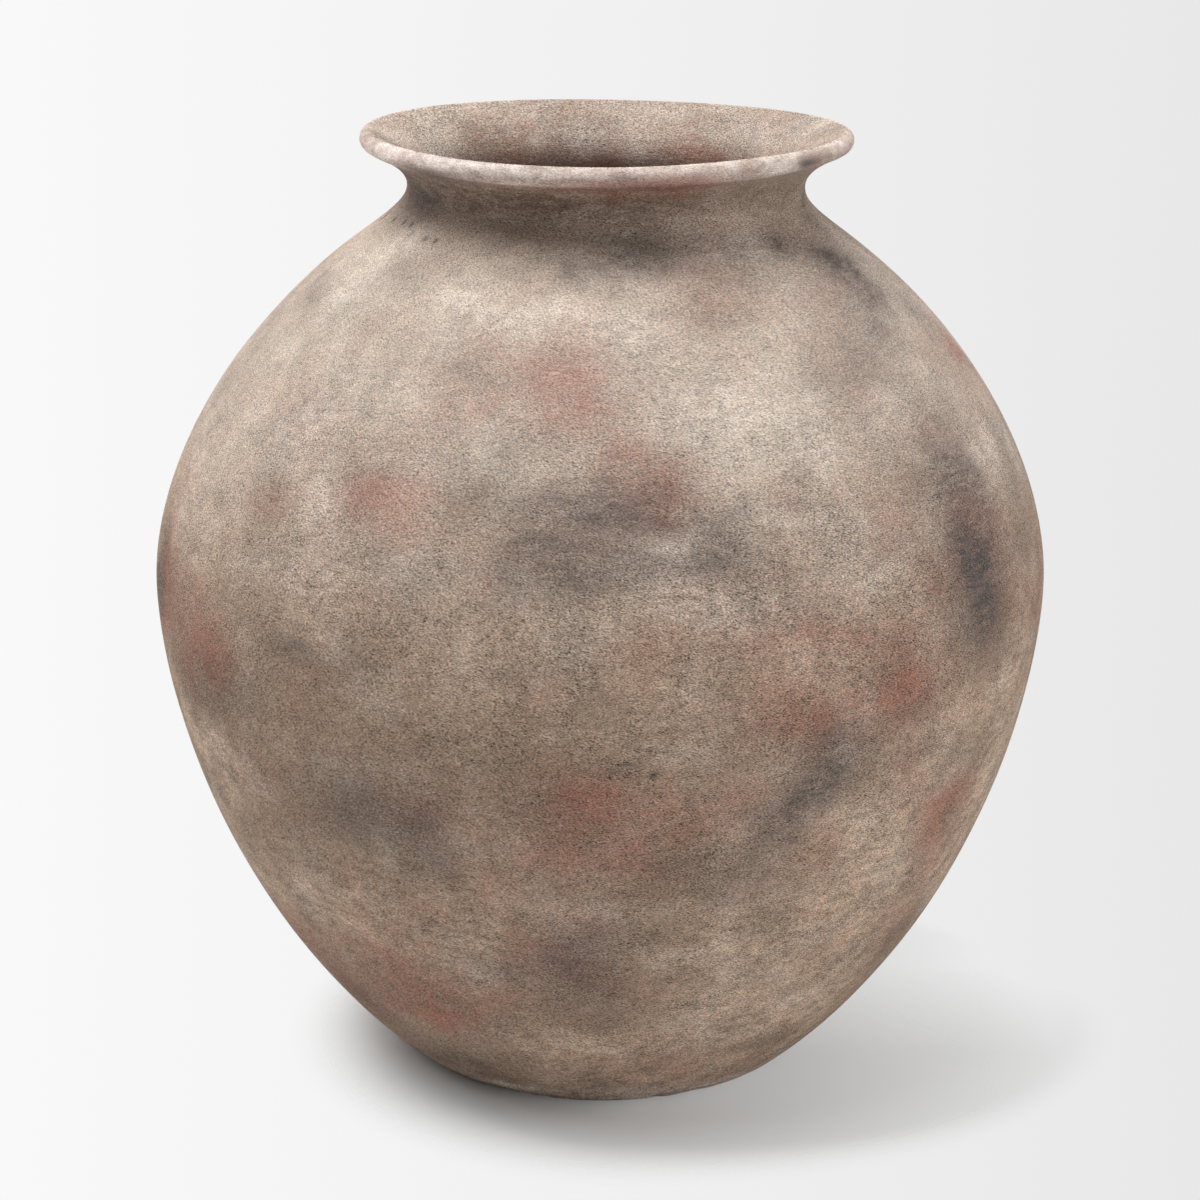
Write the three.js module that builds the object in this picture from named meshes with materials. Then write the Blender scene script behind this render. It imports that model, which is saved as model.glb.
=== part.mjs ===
// A terracotta vase: a big round-bellied jar with a short neck and a flaring, full-round lip.
// Foot, wall, neck and lip are one piece of fired clay of even thickness. It stands on four felt pads.
// Millimetres, +Z up. The origin is on the floor, under the middle of the belly.

import * as THREE from 'three';
import { mergeVertices } from 'three/addons/utils/BufferGeometryUtils.js';

// Outline of the clay, with heights above the face of its foot
const footRadius = 100;
const footEase = 2;
const wallAngle = 41.8;
const wallHold = 111;
const bellyRadius = 207;
const bellyHeight = 229.4;
const bellyHoldBelow = 48;
const bellyHoldAbove = 43.1;
const shoulderRadius = 109.9;
const shoulderHeight = 386.5;
const shoulderAngle = 144.2;
const shoulderHoldBelow = 83.8;
const shoulderHoldAbove = 16.7;
const throatRadius = 90;
const throatHeight = 408.1;
const throatHoldBelow = 7.3;
const throatHoldAbove = 9.9;
const lipOverhang = 18.7;
const lipRise = 17.1;
const lipAngle = 23;
const lipHold = 2;

// Clay thickness, floor and the shallow hollow under the foot
const wallThickness = 8.2;
const floorThickness = 13;
const floorCove = 16;
const hollowRadius = 68;
const hollowDepth = 3;

// What the hand left: the foot, the shoulder and the mouth lie a little to the right of the belly.
// The mouth leans forwards and to the right, and its rim dips twice on the way round.
const footDrift = 1.1;
const shoulderDrift = 2.1;
const mouthDrift = 0.9;
const driftBend = 1.5;
const mouthLeanForwards = 0.9;
const mouthLeanAside = 0.32;
const rimDip = 1;
const rimCrestAngle = -17;

// Felt pads under the foot ring
const padRadius = 9;
const padThickness = 1;
const padCount = 4;

// Fineness of the turned surface
const turns = 72;

const { cos, sin, tan, atan2, PI, max } = Math;
const radians = THREE.MathUtils.degToRad;

const clay = new THREE.MeshStandardMaterial({ color: '#9c8a79', roughness: 0.95, metalness: 0 });
const felt = new THREE.MeshStandardMaterial({ color: '#4a4038', roughness: 1, metalness: 0 });

const point = (radius, height) => new THREE.Vector2(radius, height);

// The point that lies a distance from another, at an angle from the horizontal
function stepFrom(from, angle, distance) {
  const turned = radians(angle);
  return point(from.x + distance * cos(turned), from.y + distance * sin(turned));
}

// The outside of the clay, from the foot up to the edge of the lip, as curves between its landmarks
function outsideCurves() {
  const foot = point(footRadius, 0);
  const belly = point(bellyRadius, bellyHeight);
  const shoulder = point(shoulderRadius, shoulderHeight);
  const throat = point(throatRadius, throatHeight);
  const lip = point(throatRadius + lipOverhang, throatHeight + lipRise);
  const curve = (from, leave, arrive, to) => new THREE.CubicBezierCurve(from, leave, arrive, to);
  return {
    wall: curve(foot, stepFrom(foot, wallAngle, wallHold), stepFrom(belly, -90, bellyHoldBelow), belly),
    dome: curve(
      belly,
      stepFrom(belly, 90, bellyHoldAbove),
      stepFrom(shoulder, shoulderAngle, -shoulderHoldBelow),
      shoulder,
    ),
    neck: curve(
      shoulder,
      stepFrom(shoulder, shoulderAngle, shoulderHoldAbove),
      stepFrom(throat, -90, throatHoldBelow),
      throat,
    ),
    flare: curve(throat, stepFrom(throat, 90, throatHoldAbove), stepFrom(lip, lipAngle, -lipHold), lip),
  };
}

// Points along a curve, moved into the clay by an even distance
function sampleInward(curve, steps, depth) {
  return Array.from({ length: steps + 1 }, (_, step) => {
    const place = curve.getPoint(step / steps);
    const heading = curve.getTangent(step / steps);
    return point(place.x - depth * heading.y, place.y + depth * heading.x);
  });
}

// The end of the lip: half a circle as wide as the clay, from its outside round to its inside
function lipRound(lip, steps) {
  const radius = wallThickness / 2;
  const centre = stepFrom(lip, lipAngle + 90, radius);
  return Array.from({ length: steps - 1 }, (_, step) =>
    stepFrom(centre, lipAngle - 90 + (180 * (step + 1)) / steps, radius));
}

// The whole section, from the middle of the underside to the middle of the floor inside
function section() {
  const { wall, dome, neck, flare } = outsideCurves();
  const outside = [
    ...sampleInward(wall, 12, 0).slice(1),
    ...sampleInward(dome, 13, 0).slice(1),
    ...sampleInward(neck, 5, 0).slice(1),
    ...sampleInward(flare, 6, 0).slice(1),
  ];
  const inside = [
    ...sampleInward(wall, 8, wallThickness),
    ...sampleInward(dome, 9, wallThickness).slice(1),
    ...sampleInward(neck, 4, wallThickness).slice(1),
    ...sampleInward(flare, 5, wallThickness).slice(1),
  ].filter((place) => place.y > floorThickness + floorCove / 2);
  const coveFoot = point(inside[0].x - floorCove, floorThickness);
  const coveCorner = point(inside[0].x - floorCove / 4, floorThickness);
  const cove = new THREE.QuadraticBezierCurve(coveFoot, coveCorner, inside[0]).getPoints(3);
  return [
    point(0, hollowDepth),
    point(hollowRadius - hollowDepth, hollowDepth),
    point(hollowRadius, 0),
    point(footRadius - footEase, 0),
    stepFrom(point(footRadius, 0), wallAngle, footEase),
    ...outside,
    ...lipRound(outside.at(-1), 6),
    ...inside.reverse(),
    ...cove.reverse().slice(1),
    point(0, floorThickness),
  ];
}

// Turned work is true, and this is what the hand does to it. The foot keeps its plane.
function byHand(position) {
  const top = throatHeight + lipRise;
  for (let i = 0; i < position.count; i += 1) {
    const x = position.getX(i);
    const y = position.getY(i);
    const z = position.getZ(i);
    const below = max(bellyHeight - z, 0) / bellyHeight;
    const above = max(z - bellyHeight, 0) / (top - bellyHeight);
    const upNeck = THREE.MathUtils.smoothstep(z, shoulderHeight, throatHeight);
    const drift = footDrift * below ** driftBend + shoulderDrift * above ** driftBend + mouthDrift * upNeck;
    const lean = y * tan(radians(mouthLeanForwards)) - x * tan(radians(mouthLeanAside));
    const dip = rimDip * cos(2 * (atan2(y, x) - radians(rimCrestAngle)));
    position.setX(i, x + drift);
    position.setZ(i, z + upNeck * (lean + dip));
  }
}

function buildClay() {
  const turned = new THREE.LatheGeometry(section(), turns);
  turned.rotateX(PI / 2);
  turned.deleteAttribute('normal');
  turned.deleteAttribute('uv');
  const geometry = mergeVertices(turned, 0.001);
  byHand(geometry.getAttribute('position'));
  geometry.computeVertexNormals();
  const mesh = new THREE.Mesh(geometry, clay);
  mesh.name = 'vase_body';
  mesh.position.z = padThickness;
  return mesh;
}

// Each pad is stuck to the middle of the flat ring between the hollow and the edge of the foot
function buildPad(number) {
  const ringRadius = (hollowRadius + footRadius - footEase) / 2;
  const angle = radians((360 * (number - 0.5)) / padCount);
  const geometry = new THREE.CylinderGeometry(padRadius, padRadius, padThickness, 32);
  geometry.rotateX(PI / 2);
  const mesh = new THREE.Mesh(geometry, felt);
  mesh.name = `felt_pad_${number}`;
  mesh.position.set(footDrift + ringRadius * cos(angle), ringRadius * sin(angle), padThickness / 2);
  return mesh;
}

const group = new THREE.Group();
group.add(buildClay());
for (let number = 1; number <= padCount; number += 1) {
  group.add(buildPad(number));
}

export default group;
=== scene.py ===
from math import cos, pi, radians, sin, tan

import bpy
import numpy as np
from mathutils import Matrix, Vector, noise


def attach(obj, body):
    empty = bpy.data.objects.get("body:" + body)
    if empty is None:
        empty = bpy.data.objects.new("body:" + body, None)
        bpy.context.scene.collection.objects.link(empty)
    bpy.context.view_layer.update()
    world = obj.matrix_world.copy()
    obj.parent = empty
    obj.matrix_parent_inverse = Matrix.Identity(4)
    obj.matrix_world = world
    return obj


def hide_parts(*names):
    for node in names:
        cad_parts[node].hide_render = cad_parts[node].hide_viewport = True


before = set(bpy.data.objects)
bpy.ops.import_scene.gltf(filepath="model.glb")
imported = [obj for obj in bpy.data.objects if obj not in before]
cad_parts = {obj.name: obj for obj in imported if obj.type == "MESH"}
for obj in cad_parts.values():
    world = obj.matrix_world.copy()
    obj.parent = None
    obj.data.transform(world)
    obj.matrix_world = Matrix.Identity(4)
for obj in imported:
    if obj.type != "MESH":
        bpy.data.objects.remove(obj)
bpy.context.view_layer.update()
bpy.ops.object.select_all(action="DESELECT")

# The view: a camera on a tripod, a little above the mouth and looking down at the belly.
# The focal length is for a square picture on a 36 mm wide sensor.
VIEW_DISTANCE = 1.281
VIEW_PITCH = radians(17)
VIEW_AIM_HEIGHT = 0.2121
FOCAL_LENGTH_MM = 81
SENSOR_MM = 36

view_place = (0, -VIEW_DISTANCE * cos(VIEW_PITCH), VIEW_AIM_HEIGHT + VIEW_DISTANCE * sin(VIEW_PITCH))
bpy.ops.object.camera_add(location=view_place, rotation=(pi / 2 - VIEW_PITCH, 0, 0))
view = bpy.context.object
view.name = "view"
view.data.sensor_width = SENSOR_MM
view.data.lens = FOCAL_LENGTH_MM
bpy.context.scene.camera = view
bpy.context.scene.view_settings.view_transform = "Standard"

# The studio lights: one broad soft key high on the left, a low one behind on the left
# that rims the shoulder, and a low broad one from the right.


def soft_sun(name, bearing, elevation, strength, spread):
    """A sun with soft edges. A bearing of 0 is the camera's side, and it grows to the right."""
    bpy.ops.object.light_add(type="SUN", rotation=(radians(90 - elevation), 0, radians(bearing)))
    sun = bpy.context.object
    sun.name = name
    sun.data.energy = strength
    sun.data.angle = radians(spread)


soft_sun("key_light", bearing=-78, elevation=70, strength=3.1, spread=50)
soft_sun("rim_light", bearing=-120, elevation=10, strength=0.63, spread=40)
soft_sun("side_light", bearing=75, elevation=10, strength=1.5, spread=52)

# The room: a pale sweep that the camera sees, a touch darker to the right, as the left-hand
# light leaves it. To everything else in the studio it is dim.
ROOM_GLOW = 0.06
BACKDROP_LEFT = 0.947
BACKDROP_RIGHT = 0.807
BACKDROP_TURN = 0.217


def add(tree, kind, inputs, **settings):
    """A new node with its settings made and its inputs given values or other nodes' outputs."""
    made = tree.nodes.new("ShaderNode" + kind)
    for name, value in settings.items():
        setattr(made, name, value)
    for socket, value in inputs.items():
        if isinstance(value, bpy.types.NodeSocket):
            tree.links.new(value, made.inputs[socket])
        else:
            made.inputs[socket].default_value = value
    return made


def calc(tree, operation, one, other):
    """The result of a sum or a comparison of two values."""
    return add(tree, "Math", {0: one, 1: other}, operation=operation).outputs[0]


def grade(tree, value, low, high, start, end, shape="LINEAR"):
    """A value that runs from start to end as another one goes from low to high."""
    span = {"Value": value, "From Min": low, "From Max": high, "To Min": start, "To Max": end}
    return add(tree, "MapRange", span, interpolation_type=shape).outputs[0]


def seen_plainly(tree):
    """1 for what the camera sees, straight or in gloss or glass, and 0 for the light in the studio."""
    path = add(tree, "LightPath", {}).outputs
    straight_or_gloss = calc(tree, "MAXIMUM", path["Is Camera Ray"], path["Is Glossy Ray"])
    return calc(tree, "MAXIMUM", straight_or_gloss, path["Is Transmission Ray"])


room = bpy.data.worlds.new("room")
room.use_nodes = True
air = room.node_tree
air.nodes.clear()
heading = add(air, "SeparateXYZ", {0: add(air, "TexCoord", {}).outputs["Generated"]}).outputs["X"]
sweep = grade(air, heading, -BACKDROP_TURN, BACKDROP_TURN, BACKDROP_LEFT, BACKDROP_RIGHT)
backdrop = add(air, "Background", {"Color": sweep, "Strength": 1})
glow = add(air, "Background", {"Color": (1, 1, 1, 1), "Strength": ROOM_GLOW})
shown = add(air, "MixShader", {0: seen_plainly(air), 1: glow.outputs[0], 2: backdrop.outputs[0]})
add(air, "OutputWorld", {0: shown.outputs[0]})
bpy.context.scene.world = room

# The floor: smooth white board under the vase. It keeps the vase's soft shadow near the foot
# and passes into the backdrop further out, with no line between them.
FLOOR_SIDE = 60
FLOOR_BOUNCE = (0.78, 0.78, 0.78, 1)
FLOOR_LIGHT = 1.07
FLOOR_TURN = 0.28
BOARD_TINT = (0.965, 1, 1.02)
SHADOW_SHIFT = (-0.013, 0.014, 0)
SHADOW_STRETCH = 0.7
SHADOW_INNER = 0.110
SHADOW_OUTER = 0.168
SHADOW_BLEND = 0.15

# The shadow thins out to the right and to the back
THIN_RIGHT_FROM = -0.05
THIN_RIGHT_TO = 0.22
THIN_RIGHT_MOST = 0.81
THIN_BACK_FROM = -0.036
THIN_BACK_TO = 0.064
THIN_BACK_MOST = 0.25

bpy.ops.mesh.primitive_plane_add(size=FLOOR_SIDE)
floor = bpy.context.object
floor.name = "floor_board"
board = bpy.data.materials.new("white_board")
board.use_nodes = True
paint = board.node_tree
paint.nodes.clear()
spot = add(paint, "TexCoord", {}).outputs["Object"]
across = add(paint, "SeparateXYZ", {0: spot}).outputs["X"]
lit_left = BACKDROP_LEFT / FLOOR_LIGHT
lit_right = BACKDROP_RIGHT / FLOOR_LIGHT
# The board is painted a touch darker to the right, as painted falloff of the left-hand light, to meet the
# backdrop
white = grade(paint, across, -FLOOR_TURN, FLOOR_TURN, lit_left, lit_right)
neutral = add(paint, "VectorMath", {0: white, 1: BOARD_TINT}, operation="MULTIPLY").outputs[0]

shifted = add(paint, "Mapping", {"Vector": spot, "Location": SHADOW_SHIFT}).outputs[0]
middle = add(paint, "SeparateXYZ", {0: shifted}).outputs
shrunk = calc(paint, "MULTIPLY", middle["X"], SHADOW_STRETCH)
aside = calc(paint, "MINIMUM", middle["X"], shrunk)
ring = add(paint, "CombineXYZ", {"X": aside, "Y": middle["Y"]}).outputs[0]
away = add(paint, "VectorMath", {0: ring}, operation="LENGTH").outputs["Value"]
edge = grade(paint, away, SHADOW_INNER, SHADOW_OUTER, 0, 1, "SMOOTHSTEP")
rightwards = grade(paint, across, THIN_RIGHT_FROM, THIN_RIGHT_TO, 0, THIN_RIGHT_MOST)
backwards = grade(paint, middle["Y"], THIN_BACK_FROM, THIN_BACK_TO, 0, THIN_BACK_MOST)
thinner = calc(paint, "ADD", rightwards, backwards)
either = {0: edge, 1: thinner, 2: SHADOW_BLEND}
fading = add(paint, "Math", either, operation="SMOOTH_MAX", use_clamp=True).outputs[0]

near = add(paint, "BsdfDiffuse", {"Color": neutral})
far = add(paint, "BsdfTransparent", {})
shown = add(paint, "MixShader", {0: fading, 1: near.outputs[0], 2: far.outputs[0]})
bounce = add(paint, "BsdfDiffuse", {"Color": FLOOR_BOUNCE})
both = add(paint, "MixShader", {0: seen_plainly(paint), 1: bounce.outputs[0], 2: shown.outputs[0]})
add(paint, "OutputMaterial", {0: both.outputs[0]})
floor.data.materials.append(board)

# The vase: one piece of fired clay from foot to lip, thrown on the wheel with a wall of even
# thickness. Its section is drawn as a chain of curves and turned about the upright axis.
PAD_THICKNESS = 0.001
WALL_THICKNESS = 0.0082
FLOOR_THICKNESS = 0.013
TURNS = 340

FOOT_RADIUS = 0.100
FOOT_ANGLE = 41.8
BELLY_RADIUS = 0.207
BELLY_HEIGHT = 0.2294
SHOULDER_RADIUS = 0.1099
SHOULDER_HEIGHT = 0.3865
SHOULDER_ANGLE = 144.2
THROAT_RADIUS = 0.090
THROAT_HEIGHT = 0.4081
LIP_OVERHANG = 0.0187
LIP_RISE = 0.0171
LIP_ANGLE = 23

# How long each curve follows its direction at either end
FOOT_PULL = 0.111
BELLY_PULL_DOWN = 0.048
BELLY_PULL_UP = 0.0431
SHOULDER_PULL_DOWN = 0.0838
SHOULDER_PULL_UP = 0.0167
THROAT_PULL_DOWN = 0.0073
THROAT_PULL_UP = 0.0099
LIP_PULL = 0.002

# The floor inside, the round well where the wall comes down to it, and the hollow under the foot
INNER_FLOOR_RADIUS = 0.095
FLOOR_OUTER_HANDLE = 0.06
FLOOR_INNER_HANDLE = 0.03
WELL_RADIUS = 0.111
WELL_HEIGHT = 0.024
WELL_ANGLE = 50
WELL_PULL_UP = 0.06
WELL_PULL_DOWN = 0.006
HOLLOW_RADIUS = 0.068
HOLLOW_DEPTH = 0.003


def place(radius, height):
    return Vector((radius, 0, height))


def reach(start, angle, distance):
    """The place at a distance from another, in the plane of the section, at an angle in degrees."""
    return start + distance * Vector((cos(radians(angle)), 0, sin(radians(angle))))


def straight(start, end, steps):
    """A straight stretch, cut into even steps."""
    return (start, start.lerp(end, 1 / 3), start.lerp(end, 2 / 3), end, steps)


def pared(stretch, steps):
    """A stretch of the outside moved into the clay by its thickness, run from its end to its start."""
    start, leave, arrive, end, _ = stretch
    up = leave - start
    down = end - arrive
    inner_start = start + WALL_THICKNESS * Vector((-up.z, 0, up.x)).normalized()
    inner_end = end + WALL_THICKNESS * Vector((-down.z, 0, down.x)).normalized()
    shrink = (inner_end - inner_start).length / (end - start).length
    return (inner_end, inner_end - shrink * down, inner_start + shrink * up, inner_start, steps)


foot = place(FOOT_RADIUS, 0)
belly = place(BELLY_RADIUS, BELLY_HEIGHT)
shoulder = place(SHOULDER_RADIUS, SHOULDER_HEIGHT)
throat = place(THROAT_RADIUS, THROAT_HEIGHT)
lip = place(THROAT_RADIUS + LIP_OVERHANG, THROAT_HEIGHT + LIP_RISE)

# Each stretch has its start, its two handles, its end and the number of steps that it is cut into
wall = (foot, reach(foot, FOOT_ANGLE, FOOT_PULL), reach(belly, -90, BELLY_PULL_DOWN), belly, 84)
shoulder_below = reach(shoulder, SHOULDER_ANGLE, -SHOULDER_PULL_DOWN)
shoulder_above = reach(shoulder, SHOULDER_ANGLE, SHOULDER_PULL_UP)
dome = (belly, reach(belly, 90, BELLY_PULL_UP), shoulder_below, shoulder, 72)
neck = (shoulder, shoulder_above, reach(throat, -90, THROAT_PULL_DOWN), throat, 14)
flare = (throat, reach(throat, 90, THROAT_PULL_UP), reach(lip, LIP_ANGLE, -LIP_PULL), lip, 14)

well = place(WELL_RADIUS, WELL_HEIGHT)
floor_edge = place(INNER_FLOOR_RADIUS, FLOOR_THICKNESS)
funnel = pared(flare, 12)
low_wall = pared(wall, 10)
well_below = reach(well, WELL_ANGLE + 180, WELL_PULL_DOWN)
floor_outer = place(FLOOR_OUTER_HANDLE, FLOOR_THICKNESS)
floor_inner = place(FLOOR_INNER_HANDLE, FLOOR_THICKNESS)
inside = [
    funnel,
    pared(neck, 8),
    pared(dome, 14),
    (low_wall[0], low_wall[1], reach(well, WELL_ANGLE, WELL_PULL_UP), well, 10),
    (well, well_below, reach(floor_edge, 0, WELL_PULL_DOWN), floor_edge, 3),
    (floor_edge, floor_outer, floor_inner, place(0, FLOOR_THICKNESS), 3),
]

# The lip is fully rounded: two quarter circles, each drawn with the usual pull for a quarter
QUARTER_CIRCLE = 0.5523
QUARTER_PULL = QUARTER_CIRCLE * WALL_THICKNESS / 2
crest = reach((lip + funnel[0]) / 2, LIP_ANGLE, WALL_THICKNESS / 2)
crest_below = reach(crest, LIP_ANGLE - 90, QUARTER_PULL)
crest_above = reach(crest, LIP_ANGLE + 90, QUARTER_PULL)
lip_round = [
    (lip, reach(lip, LIP_ANGLE, QUARTER_PULL), crest_below, crest, 5),
    (crest, crest_above, reach(funnel[0], LIP_ANGLE, QUARTER_PULL), funnel[0], 5),
]
hollow_edge = place(HOLLOW_RADIUS - HOLLOW_DEPTH, HOLLOW_DEPTH)
under = [place(0, HOLLOW_DEPTH), hollow_edge, place(HOLLOW_RADIUS, 0), foot]
underside = [straight(start, end, 2) for start, end in zip(under, under[1:])]

bpy.ops.curve.primitive_bezier_curve_add(enter_editmode=False)
section = bpy.context.object
section.name = "vase"
section.data.splines.clear()
for start, leave, arrive, end, steps in underside + [wall, dome, neck, flare] + lip_round + inside:
    spline = section.data.splines.new("BEZIER")
    spline.bezier_points.add(1)
    spline.resolution_u = steps
    first, last = spline.bezier_points
    for knot, co, left, right in ((first, start, start, leave), (last, end, arrive, end)):
        knot.handle_left_type = knot.handle_right_type = "FREE"
        knot.co, knot.handle_left, knot.handle_right = co, left, right
bpy.ops.object.convert(target="MESH")
vase = bpy.context.object
bpy.ops.object.modifier_add(type="SCREW")
turning = vase.modifiers["Screw"]
turning.angle = 2 * pi
turning.steps = turning.render_steps = TURNS
bpy.ops.object.modifier_apply(modifier="Screw")
bpy.ops.object.mode_set(mode="EDIT")
bpy.ops.mesh.select_all(action="SELECT")
bpy.ops.mesh.remove_doubles(threshold=1e-5)
bpy.ops.mesh.dissolve_degenerate(threshold=1e-6)
bpy.ops.mesh.normals_make_consistent(inside=False)
bpy.ops.object.mode_set(mode="OBJECT")
bpy.ops.object.transform_apply(location=True, rotation=True, scale=True)

# Pits and chips in the clay, each with its bearing in degrees, height and radius in mm and its
# depth in mm. The turned surface is cut finer round each of them before it is pressed in.
PITS = (
    (-87, 394, 1.6, 0.7), (-75, 396, 1.2, 0.6), (-67, 397, 1.4, 0.8), (-62, 397, 1.3, 0.9),
    (-58, 394, 1.5, 0.7), (-51, 394, 1.6, 0.8), (-47, 394, 1.4, 0.7), (6, 199, 1.6, 0.8),
    (-7, 6, 2.0, 1.8), (118, 372, 1.5, 0.8), (131, 246, 1.7, 0.8), (164, 396, 1.4, 0.7),
    (-141, 305, 1.5, 0.7), (-118, 162, 1.6, 0.8),
)
CHIPS = (
    (-31, 1, 4, 0.6), (-26, 2, 5, 0.7), (-21, 1, 3, 0.5), (-16, 1, 4, 0.6), (14, 1, 3, 0.5),
    (25, 3, 6, 0.5), (97, 1, 5, 0.7), (149, 1, 4, 0.6), (-160, 2, 6, 0.7), (-102, 1, 4, 0.5),
)
FINE_CUTS = 4
FINE_REACH = 1.6
FINE_MARGIN_MM = 2


def read(owner, name, width):
    """One value of every vertex or face, as rows of numbers."""
    values = np.empty(len(owner) * width)
    owner.foreach_get(name, values)
    return values.reshape(-1, width)


def distance_mm(spots, bearing, height, outward):
    """How far spots on the outside lie from a mark, in mm, and far away for all that is inside."""
    ring = np.hypot(spots[:, 0], spots[:, 1])
    turn = (np.degrees(np.arctan2(spots[:, 0], -spots[:, 1])) - bearing + 180) % 360 - 180
    along = np.radians(turn) * ring
    away = 1000 * np.hypot(along, spots[:, 2] - height / 1000)
    return np.where(outward > 0, away, 1000)


centres = read(vase.data.polygons, "center", 3)
facing = read(vase.data.polygons, "normal", 3)
outward = (facing[:, :2] * centres[:, :2]).sum(1)
close = np.zeros(len(centres), bool)
for bearing, height, radius, depth in PITS + CHIPS:
    close |= distance_mm(centres, bearing, height, outward) < FINE_REACH * radius + FINE_MARGIN_MM
bpy.ops.object.mode_set(mode="EDIT")
bpy.ops.mesh.select_mode(type="FACE")
bpy.ops.mesh.select_all(action="DESELECT")
bpy.ops.object.mode_set(mode="OBJECT")
vase.data.polygons.foreach_set("select", close)
bpy.ops.object.mode_set(mode="EDIT")
bpy.ops.mesh.subdivide(number_cuts=FINE_CUTS)
bpy.ops.object.mode_set(mode="OBJECT")

# The colours on the clay: pale clay, umber, iron red, smoke and chalk, dabbed on and rubbed back by hand.
# Some of these dabs are also painted light and painted shade. Each dab has its bearing in degrees and
# height in mm, half its width in degrees, half its height in mm and its strength, and one that leans has
# its lean in degrees for each mm too.

# Pale clay rubbed bare, most of it low down and to the right, where it is partly painted light from the
# right and off the floor
SAND_AND_LIGHT = (
    (112, 95, 18, 26, 0.5), (160, 58, 26, 30, 0.6), (-150, 90, 18, 24, 0.5), (-115, 60, 20, 26, 0.5),
    (128, 190, 8, 16, 0.4), (-170, 205, 10, 14, 0.4), (-100, 180, 8, 18, 0.5), (-128, 150, 9, 12, 0.4),
    (180, 12, 60, 9, 0.7), (96, 132, 7, 12, 0.5), (-37, 258, 4, 8, 0.3), (62, 226, 6, 10, 0.45),
    (46, 217, 4, 10, 0.35), (44, 200, 4, 12, 0.3), (4, 210, 5, 12, 0.3), (63, 184, 5, 10, 0.45),
    (15, 168, 3.5, 8, 0.45), (62, 140, 6, 14, 0.8), (48, 127, 4, 8, 0.5), (22, 117, 6, 9, 0.45),
    (4, 113, 5, 7, 0.35), (-30, 99, 8, 8, 0.4), (-20, 82, 4, 13, 0.4), (-25, 148, 4, 7, 0.3),
    (-17, 147, 3, 8, 0.3), (38, 87, 6, 9, 0.75), (12, 18, 6, 9, 0.4), (22, 51, 5, 6, 0.5),
    (36, 48, 5, 7, 0.5), (57, 115, 5, 9, 0.6), (44, 119, 5, 9, 0.3), (30, 20, 12, 8, 0.4),
    (47, 80, 6, 10, 0.6), (-13, 62, 5, 6, 0.3), (10, 50, 5, 7, 0.4), (24, 46, 6, 9, 0.35),
    (0, 22, 6, 9, 0.5), (14, 16, 7, 8, 0.6), (26, 18, 6, 9, 0.6), (45, 20, 5, 10, 0.7),
    (23, 230, 6, 7, 0.4), (36, 253, 5, 10, 0.3), (-15, 110, 4, 6, 0.25), (-48, 138, 3, 6, 0.25),
    (-57, 158, 5, 8, 0.2), (28, 225, 4, 7, 0.4), (12, 17, 4, 9, 0.5), (25, 17, 4, 9, 0.5),
    (43, 18, 4, 8, 0.5), (28, 399, 8, 8, 0.6), (22, 62, 26, 36, 0.6), (38, 150, 7, 18, 0.8),
    (37, 132, 8, 8, 0.5), (32, 110, 12, 24, 0.45), (-6, 50, 9, 11, 0.6), (30, 246, 8, 16, 0.5),
    (33, 166, 6, 12, 0.7), (42, 45, 6, 12, 0.5), (-16, 118, 5, 8, 0.4), (40, 143, 5, 8, 0.3),
    (50, 96, 6, 8, 0.4), (36, 80, 6, 8, 0.3), (-38, 104, 7, 7, 0.4), (18, 28, 14, 9, 0.4),
    (16, 12, 28, 10, 0.9), (-24, 6, 11, 6, 0.9), (16, 5, 34, 7, 0.8), (43, 60, 8, 26, 0.3),
    (42, 35, 6, 8, 0.3), (32, 52, 7, 5, 0.4), (63, 152, 6, 14, 0.6), (60, 206, 6, 12, 0.6),
    (60, 102, 6, 14, 0.7), (33, 205, 4, 14, 0.3), (16, 168, 3, 8, 0.3), (-64, 172, 7, 14, 0.5),
    (-55, 178, 5, 7, 0.4), (-35, 125, 6, 6, 0.5), (-20, 113, 8, 10, 0.4), (-46, 119, 6, 6, 0.5),
    (-60, 103, 8, 6, 0.5), (0, 133, 5, 5, 0.4), (-8, 134, 4, 5, 0.4), (25, 241, 8, 9, 0.5),
    (9, 236, 6, 8, 0.5), (-12, 236, 6, 12, 0.4), (-5, 257, 5, 5, 0.3), (48, 204, 6, 16, 0.5),
    (44, 180, 4, 10, 0.3), (-40, 106, 5, 4, 0.4), (14, 112, 8, 8, 0.3), (43, 118, 5, 8, 0.3),
    (62, 178, 4, 8, 0.4), (15, 68, 5, 4, 0.3), (-62, 152, 5, 5, 0.3),
)
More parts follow.
